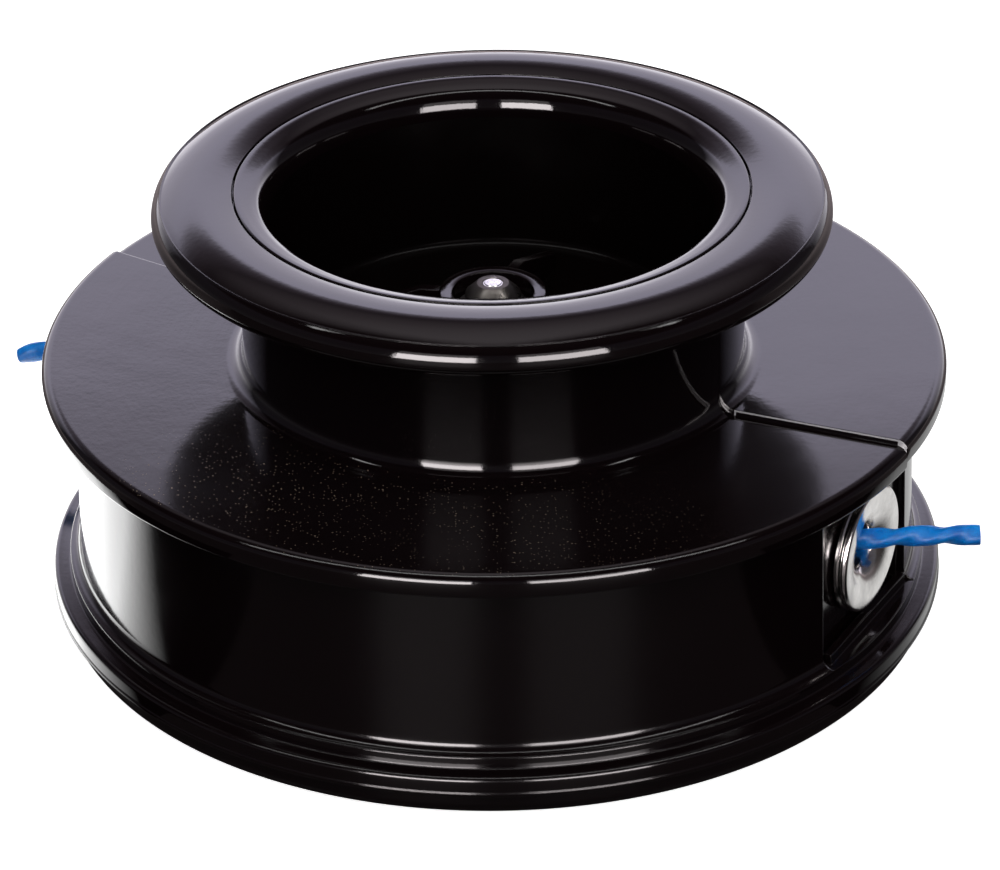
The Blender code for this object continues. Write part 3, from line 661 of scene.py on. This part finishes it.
def drumOutline(spec):
    ledgeRadius, ledgeTop = spec["ledge"]
    foot, footRound = spec["foot"], spec["footRound"]
    plain = arc((ledgeRadius, ledgeTop + spec["flare"]), spec["flare"], 180, 265, 12)
    plain += arc((ledgeRadius - 0.2, ledgeTop - 0.2), 0.2, 80, 0, 4)
    plain += arc((ledgeRadius + 0.2, spec["footTop"] + 0.2), 0.2, 180, 270, 5)
    plain += arc((foot - footRound, spec["footTop"] - footRound), footRound, 90, 0, 9)
    plain += [(foot, 4.62), (foot + 0.03, 4.58)]
    plain += arc((foot - 0.1 + spec["lip"], 4.46), 0.1, 70, 0, 4)
    plain += arc((foot - 0.2 + spec["lip"], spec["footBottom"] + 0.2), 0.2, 0, -90, 4)
    plain += [(spec["rimInner"] - 1.0, spec["footBottom"]), (spec["rimInner"] - 1.4, spec["floorBottom"])]
    plain += [(spec["hole"], spec["floorBottom"]), (spec["hole"], spec["hub"][1])]
    plain += [(spec["hub"][0] - 0.4, spec["hub"][1]), (spec["hub"][0], spec["floorTop"])]
    plain += [(spec["wallInner"] - 1.2, spec["floorTop"]), (spec["wallInner"], spec["floorTop"] + 1.2)]
    plain += [(spec["wallInner"], spec["rimTop"] - 4.3), (spec["rimInner"], spec["rimTop"] - 2.8)]
    rim = [(spec["rimInner"], spec["rimTop"]), (spec["wallTop"], spec["rimTop"])]
    return raised(rim, 1.0) + raised(plain, 0.0)


def cutPocket(item, spec, angle):
    low = (spec["padInner"], -spec["padHalf"], spec["padBottom"])
    high = (spec["back"] + 0.1, spec["padHalf"], spec["padTop"])
    carve(item, boxTool(low, high, drumMaterial, angle), "UNION")
    low = (spec["back"], -spec["half"], spec["bottom"])
    high = (70.0, spec["half"], 40.0)
    carve(item, boxTool(low, high, drumMaterial, angle))
    low = (spec["sill"][0], -spec["sillHalf"], spec["bottom"] - 1.0)
    high = (spec["sill"][1], spec["sillHalf"], spec["sillTop"])
    carve(item, boxTool(low, high, drumMaterial, angle), "UNION")
    hole = bmesh.new()
    size = {"radius1": spec["hole"] * mm, "radius2": spec["hole"] * mm, "depth": 10.0 * mm}
    through = outwards(angle, spec["padInner"] + 2.0, spec["height"])
    bmesh.ops.create_cone(hole, cap_ends=True, segments=64, matrix=through, **size)
    carve(item, makeItem("tool", hole, drumMaterial))


def makeDrum(spec, pocketSpec):
    item = makeItem("drum", spinRamped(drumOutline(spec), 360, ramp["play"]), drumMaterial)
    for index in range(ramp["starts"]):
        cutPocket(item, pocketSpec, ramp["angle"] + 360.0 * index / ramp["starts"])
    settle(item, "housing", ["housing_drum"])


makeDrum(drum, pocket)
print("drum made")


# base cover and its screws

cover = {
    "radius": 63.7,
    "round": 2.0,
    "hole": 10.5,
    "top": 3.6,
    "screws": 4,
    "circle": 40.0,
    "head": 3.3,
    "shank": 1.6,
    "tip": 9.9,
}


def screwPlaces(spec):
    places = []
    for index in range(spec["screws"]):
        turn = math.radians(45.0 + 360.0 * index / spec["screws"])
        places.append((spec["circle"] * math.cos(turn), spec["circle"] * math.sin(turn)))
    return places


def makeCover(spec):
    outline = arc((spec["radius"] - spec["round"], spec["round"]), spec["round"], 0, -90, 12)
    outline += arc((spec["hole"] + 0.6, 0.6), 0.6, -90, -180, 5)
    outline += [(spec["hole"], spec["top"]), (spec["radius"], spec["top"])]
    item = makeItem("baseCover", spinOutline(outline, 300), glossMaterial)
    for place in screwPlaces(spec):
        carve(item, postTool(spec["shank"] + 0.3, -1.0, 5.0, glossMaterial, place, 48))
        carve(item, postTool(spec["head"] + 0.3, -1.0, 2.0, glossMaterial, place, 64))
    settle(item, "housing", ["base_cover"])


def makeCoverScrews(spec):
    head, shank = spec["head"], spec["shank"]
    outline = [(0.0, 0.3)] + arc((head - 0.5, 0.8), 0.5, -90, 0, 6)
    outline += [(head, 1.7), (shank, 1.7), (shank, spec["tip"] - 1.0), (0.0, spec["tip"])]
    for number, place in enumerate(screwPlaces(spec), 1):
        spot = Matrix.Translation((place[0] * mm, place[1] * mm, 0.0))
        item = makeItem(f"coverScrew{number}", spinOutline(outline, 48), platedMaterial, spot)
        carve(item, postTool(1.5, -1.0, 1.1, platedMaterial, place, 6))
        settle(item, "housing", [f"cover_screw_{number}"])


makeCover(cover)
makeCoverScrews(cover)
print("base made")


# arbor and what sits on it

arbor = {
    "hexFlats": 17.0,
    "bottom": 0.6,
    "hexTop": 8.5,
    "bore": (4.3, 11.5),
    "shank": (7.0, 13.5),
    "shaft": 4.0,
    "top": 49.0,
    "tip": 2.4,
    "centre": 1.3,
    "groove": (3.4, 44.3, 45.7),
}


def makeArbor(spec):
    shaft, tip, top = spec["shaft"], spec["tip"], spec["top"]
    grooveRadius, grooveBottom, grooveTop = spec["groove"]
    outline = [(0.0, 1.6), (spec["shank"][0], 1.6), spec["shank"], (shaft, spec["shank"][1])]
    outline += [(shaft, grooveBottom), (grooveRadius, grooveBottom)]
    outline += [(grooveRadius, grooveTop), (shaft, grooveTop)]
    outline += arc((shaft - 0.25, top - shaft + tip - 0.1), 0.25, 0, 45, 4)
    outline += arc((tip - 0.15, top - 0.15), 0.15, 45, 90, 4)
    outline += [(spec["centre"] + 0.22, top), (spec["centre"] + 0.08, top - 0.1)]
    outline += [(spec["centre"] - 0.04, top - 0.1), (spec["centre"] - 0.16, top), (0.0, top)]
    corner = spec["hexFlats"] / math.sqrt(3.0)
    item = postTool(corner, spec["bottom"], spec["hexTop"], machinedMaterial, sides=6)
    item.name = "arborShaft"
    carve(item, makeItem("tool", spinOutline(outline, 96), machinedMaterial), "UNION")
    carve(item, postTool(spec["bore"][0], -1.0, spec["bore"][1], machinedMaterial))
    item.data.materials.clear()
    item.data.materials.append(machinedMaterial)
    item.data.materials.append(polishedMaterial)
    for face in item.data.polygons:
        x, y, z = face.center
        inMark = math.hypot(x, y) < (spec["centre"] + 0.1) * mm
        face.material_index = int(inMark and z > (top - 0.16) * mm)
    settle(item, "housing", ["arbor"])


makeArbor(arbor)
print("arbor made")


# the spring round the arbor, drawn at one length though the real one shortens as the knob climbs its ramps

spring = {
    "radius": 4.9,
    "wire": 1.0,
    "bottom": 34.6,
    "top": 43.0,
    "turns": 4,
    "steps": 36,
    "sides": 12,
    "lift": 0.8,
}


def makeSpring(spec):
    half = spec["wire"] / 2
    low, high = spec["bottom"] + half, spec["top"] - half
    steps = spec["turns"] * spec["steps"]
    mesh = bmesh.new()
    rings = []
    for step in range(steps + 1):
        turn = math.tau * step / spec["steps"]
        height = low + (high - low) * step / steps
        wireEdge = arc((spec["radius"], height), half, 0, 360 - 360 / spec["sides"], spec["sides"])
        places = [(r * mm * math.cos(turn), r * mm * math.sin(turn), z * mm) for r, z in wireEdge]
        rings.append([mesh.verts.new(place) for place in places])
    joinTube(mesh, rings)
    item = makeItem("springCoil", mesh, wireMaterial)
    settle(item, "housing", ["compression_spring"])
    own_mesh(item)


makeSpring(spring)
print("spring made")


# eyelets and the plates behind them

eyelet = {
    "bore": 3.2,
    "flare": 2.4,
    "flareEnd": 8.35,
    "radius": 9.25,
    "rim": 0.95,
    "rimRound": 0.55,
    "barrel": 4.2,
    "length": 5.3,
    "face": 60.2,
    "plate": (5.5, 0.75, 58.2),
}


def eyeletOutline(spec):
    width = spec["flareEnd"] - spec["bore"]
    outline = [(spec["bore"], -spec["length"])]
    for index in range(19):
        turn = math.radians(90 * index / 18)
        outline.append((spec["bore"] + width * (1 - math.cos(turn)), -spec["flare"] * (1 - math.sin(turn))))
    outline += arc((spec["radius"] - spec["rimRound"], -spec["rimRound"]), spec["rimRound"], 85, 0, 9)
    outline += arc((spec["radius"] - 0.25, -spec["rim"] + 0.25), 0.25, 0, -90, 5)
    outline += [(spec["barrel"] + 0.9, -spec["rim"]), (spec["barrel"], -spec["rim"] - 0.7)]
    return outline + [(spec["barrel"], -spec["length"])]


def makeEyelet(side, angle, spec):
    place = outwards(angle, spec["face"], pocket["height"])
    item = makeItem(f"{side}Eyelet", spinOutline(eyeletOutline(spec), 128), polishedMaterial, place)
    settle(item, "housing", [f"eyelet_{side}"])
    inner, thick, back = spec["plate"]
    outer = spec["radius"]
    outline = [(inner, 0.0), (outer - 0.2, 0.0), (outer, 0.2), (outer, thick - 0.2)]
    outline += [(outer - 0.2, thick), (inner, thick)]
    place = outwards(angle, back, pocket["height"])
    plate = makeItem(f"{side}Plate", spinOutline(outline, 96), polishedMaterial, place)
    settle(plate, "housing", [f"eyelet_washer_{side}"])


for side, turn in (("right", 0.0), ("left", 180.0)):
    makeEyelet(side, ramp["angle"] + turn, eyelet)
print("eyelets made")


# the two ends of the twisted line

line = {
    "diameter": 2.6,
    "wide": 2.95,
    "narrow": 2.25,
    "halfTurn": 6.8,
    "right": [
        (36.2, -32.6, 20.4),
        (42.4, -28.6, 20.9),
        (49.5, -27.0, 21.3),
        (59.0, -26.9, 21.9),
        (68.1, -27.0, 22.0),
    ],
    "left": [
        (-41.4, 22.48, 21.0),
        (-51.0, 27.7, 21.2),
        (-60.5, 31.0, 21.3),
        (-67.9, 33.0, 21.1),
        (-71.8, 33.9, 19.9),
    ],
    "rightExit": (53.0, -27.0, 21.6),
    "leftExit": (-52.9, 28.7, 21.2),
}


def smoothRoute(anchors, count):
    padded = [anchors[0], *anchors, anchors[-1]]
    spans = len(anchors) - 1
    places = []
    for index in range(count):
        at = min(index / (count - 1) * spans, spans - 1e-9)
        span = int(at)
        t = at - span
        p, q, r, s = (Vector(padded[span + step]) for step in range(4))
        bend = (2 * p - 5 * q + 4 * r - s) * t ** 2 + (3 * q - p - 3 * r + s) * t ** 3
        places.append((0.5 * (2 * q + (r - p) * t + bend)) * mm)
    return places


def twistedTube(route, spec, sides=28):
    mesh = bmesh.new()
    rings = []
    travelled = 0.0
    for index, centre in enumerate(route):
        ahead = (route[min(index + 1, len(route) - 1)] - route[max(index - 1, 0)]).normalized()
        across = ahead.cross(Vector((0, 0, 1))).normalized()
        up = across.cross(ahead)
        travelled += (centre - route[index - 1]).length if index else 0.0
        turn = math.pi * travelled / (spec["halfTurn"] * mm)
        ring = []
        for step in range(sides):
            angle = math.tau * step / sides
            x = math.copysign(abs(math.cos(angle)) ** 0.8, math.cos(angle)) * spec["wide"] / 2
            y = math.copysign(abs(math.sin(angle)) ** 0.8, math.sin(angle)) * spec["narrow"] / 2
            out = x * math.cos(turn) - y * math.sin(turn)
            high = x * math.sin(turn) + y * math.cos(turn)
            ring.append(mesh.verts.new(centre + (across * out + up * high) * mm))
        rings.append(ring)
    joinTube(mesh, rings)
    return mesh


def makeLineEnd(side, spec):
    route = smoothRoute(spec[side], 90)
    item = makeItem(f"{side}LineEnd", twistedTube(route, spec), lineMaterial)
    settle(item, "housing", [f"line_end_{side}"], 50.0)


makeLineEnd("right", line)
makeLineEnd("left", line)
print("line ends made")


# pale floor, white to the camera

floorLook = {
    "half": 3.0,
    "height": -0.0002,
    "front": 0.05,       # how pale it is in front of, behind and far behind the head
    "back": 0.22,
    "far": 0.75,
    "emission": 0.86,
    "gloss": 0.03,
}


def makeFloor(spec):
    material, tree = newMaterial("paleFloor")
    path = addNode(tree, "ShaderNodeLightPath")
    place = addNode(tree, "ShaderNodeSeparateXYZ", {0: objectPoint(tree)})
    shade = spread(tree, place.outputs["Y"], -0.03, 0.02, spec["front"], spec["back"])
    shade = calc(tree, "ADD", shade, spread(tree, place.outputs["Y"], 0.1, 0.35, 0.0, spec["far"]))
    shade = calc(tree, "MAXIMUM", shade, path.outputs["Is Camera Ray"])
    tone = mixColour(tree, path.outputs["Is Camera Ray"], rgba((1.0, 0.84, 0.86)), rgba((1, 1, 1)))
    shaded = addNode(tree, "ShaderNodeVectorMath", {0: tone, 1: shade}, operation="MULTIPLY")
    plain = addNode(tree, "ShaderNodeBsdfDiffuse", {"Color": shaded.outputs["Vector"]})
    sheen = addNode(tree, "ShaderNodeBsdfGlossy", {"Color": rgba((1, 1, 1)), "Roughness": 0.3})
    unseen = calc(tree, "SUBTRACT", 1.0, path.outputs["Is Camera Ray"])
    share = calc(tree, "MULTIPLY", unseen, spec["gloss"])
    lower = addNode(tree, "ShaderNodeMixShader", {0: share, 1: plain.outputs[0], 2: sheen.outputs[0]})
    strength = calc(tree, "MULTIPLY", path.outputs["Is Camera Ray"], spec["emission"])
    white = addNode(tree, "ShaderNodeEmission", {"Color": rgba((1, 1, 1)), "Strength": strength})
    both = addNode(tree, "ShaderNodeAddShader", {0: lower.outputs[0], 1: white.outputs[0]})
    output = addNode(tree, "ShaderNodeOutputMaterial")
    tree.links.new(both.outputs[0], output.inputs["Surface"])
    mesh = bpy.data.meshes.new("floor")
    half, low = spec["half"], spec["height"]
    corners = [(-half, -half, low), (half, -half, low), (half, half, low), (-half, half, low)]
    mesh.from_pydata(corners, [], [(0, 1, 2, 3)])
    mesh.materials.append(material)
    floor = bpy.data.objects.new("floor", mesh)
    scene.collection.objects.link(floor)


# the room as gloss and glass show it, brightness by the sine of the height above level

room = {
    "plain": 0.35,
    "top": 3.0,
    "bands": [
        (0.0, (2.6, 2.5, 2.75)),
        (0.08, (2.4, 2.3, 2.55)),
        (0.2, (1.65, 1.55, 1.85)),
        (0.35, (1.65, 1.55, 1.9)),
        (0.44, (1.78, 1.68, 2.12)),
        (0.478, (1.72, 1.62, 2.05)),
        (0.50, (1.0, 0.93, 1.15)),
        (0.53, (0.45, 0.4, 0.5)),
        (0.57, (0.24, 0.2, 0.25)),
        (0.63, (0.12, 0.1, 0.12)),
        (0.78, (0.35, 0.3, 0.33)),
        (1.0, (0.8, 0.72, 0.76)),
    ],
}


def makeRoom(spec):
    world = bpy.data.worlds.new("paleRoom")
    scene.world = world
    world.use_nodes = True
    tree = world.node_tree
    tree.nodes.clear()
    path = addNode(tree, "ShaderNodeLightPath")
    towards = addNode(tree, "ShaderNodeTexCoord").outputs["Generated"]
    side = addNode(tree, "ShaderNodeSeparateXYZ", {0: towards})
    bands = addNode(tree, "ShaderNodeValToRGB", {0: side.outputs["Z"]})
    spots = bands.color_ramp.elements
    for index, (height, colour) in enumerate(spec["bands"]):
        spot = spots[index] if index < 2 else spots.new(height)
        spot.position = height
        spot.color = rgba([part / spec["top"] for part in colour])
    level = calc(tree, "SUBTRACT", 1.0, calc(tree, "MULTIPLY", side.outputs["Z"], side.outputs["Z"]))
    level = calc(tree, "SQRT", calc(tree, "ADD", level, 0.01))
    behind = spread(tree, calc(tree, "DIVIDE", side.outputs["Y"], level), 0.6, 0.88, 0.04, 1.0)
    strength = calc(tree, "MULTIPLY", behind, spec["top"])
    shown = addNode(tree, "ShaderNodeBackground", {"Color": bands.outputs["Color"], "Strength": strength})
    plain = addNode(tree, "ShaderNodeBackground", {"Color": rgba((1, 1, 1)), "Strength": spec["plain"]})
    white = addNode(tree, "ShaderNodeBackground", {"Color": rgba((1, 1, 1)), "Strength": 1.0})
    clear = calc(tree, "MAXIMUM", path.outputs["Is Glossy Ray"], path.outputs["Is Transmission Ray"])
    lit = addNode(tree, "ShaderNodeMixShader", {0: clear, 1: plain.outputs[0], 2: shown.outputs[0]})
    seen = {0: path.outputs["Is Camera Ray"], 1: lit.outputs[0], 2: white.outputs[0]}
    output = addNode(tree, "ShaderNodeOutputWorld")
    tree.links.new(addNode(tree, "ShaderNodeMixShader", seen).outputs[0], output.inputs["Surface"])


# a soft lamp lights the object, pale cards only show in its gloss

lamps = {
    "frontSoftbox": {"place": (0.1, -0.9, 1.1), "size": (1.2, 1.2), "power": 11.0, "glossy": False},
    "frontLeft": {
        "place": (-0.328, -1.0, 0.23),
        "aim": (0, 0, 0.23),
        "size": (0.476, 0.43),
        "power": 10.5,
        "warm": True,
    },
    "frontRight": {
        "place": (0.383, -0.98, 0.23),
        "aim": (0, 0, 0.23),
        "size": (0.518, 0.43),
        "power": 8.6,
        "warm": True,
    },
    "upperLeft": {
        "place": (-0.328, -1.0, 0.58),
        "aim": (0, 0, 0.58),
        "size": (0.476, 0.18),
        "power": 0.33,
        "warm": True,
    },
    "upperRight": {
        "place": (0.383, -0.98, 0.58),
        "aim": (0, 0, 0.58),
        "size": (0.518, 0.18),
        "power": 0.33,
        "warm": True,
    },
    "overhead": {"place": (0, -0.22, 1.2), "size": (2.0, 0.12), "power": 3.8},
}


def makeLamp(name, place, size, power, aim=(0, 0, 0.04), glossy=True, warm=False):
    data = bpy.data.lights.new(name, "AREA")
    data.shape = "RECTANGLE"
    data.size, data.size_y = size
    data.energy = power
    data.color = (1.0, 0.925, 0.935) if warm else (1, 1, 1)
    lamp = bpy.data.objects.new(name, data)
    scene.collection.objects.link(lamp)
    lamp.location = place
    lamp.rotation_euler = (Vector(aim) - Vector(place)).to_track_quat("-Z", "Y").to_euler()
    lamp.visible_camera = False
    lamp.visible_glossy = glossy
    lamp.visible_diffuse = not glossy


# low cards beside the drum, brightest away from the front, show only in its gloss

cards = {
    "inner": 66.2,
    "outer": 112.0,
    "angles": (-40, 60),
    "height": 1.5,
    "steps": 40,
    "across": 0.375,      # the way that the brightness rises, away from the drum's side and back
    "back": 0.927,
    "fade": (-0.0575, -0.0405),
    "left": 4.6,
    "right": 0.75,
}


def makeCard(name, side, spec):
    material, tree = newMaterial(name)
    place = addNode(tree, "ShaderNodeSeparateXYZ", {0: objectPoint(tree)})
    across = calc(tree, "MULTIPLY", place.outputs["X"], -side * spec["across"])
    back = calc(tree, "MULTIPLY", place.outputs["Y"], spec["back"])
    strength = spread(tree, calc(tree, "ADD", across, back), *spec["fade"], 0.0, spec[name])
    glow = addNode(tree, "ShaderNodeEmission", {"Color": rgba((1, 1, 1)), "Strength": strength})
    output = addNode(tree, "ShaderNodeOutputMaterial")
    tree.links.new(glow.outputs[0], output.inputs["Surface"])
    mesh = bmesh.new()
    rows = []
    for radius in (spec["inner"], spec["outer"]):
        spots = arc((0.0, 0.0), radius, *spec["angles"], spec["steps"] + 1)
        rows.append([mesh.verts.new((side * x * mm, y * mm, spec["height"] * mm)) for x, y in spots])
    for index in range(spec["steps"]):
        corners = (rows[0][index], rows[1][index], rows[1][index + 1], rows[0][index + 1])
        mesh.faces.new(corners if side > 0 else corners[::-1])
    card = makeItem(f"{name}Card", mesh, material)
    card.visible_camera = False
    card.visible_diffuse = False
    card.visible_shadow = False


makeFloor(floorLook)
makeCard("left", -1, cards)
makeCard("right", 1, cards)
makeRoom(room)
for name, spec in lamps.items():
    makeLamp(name, **spec)
print("stage lit")
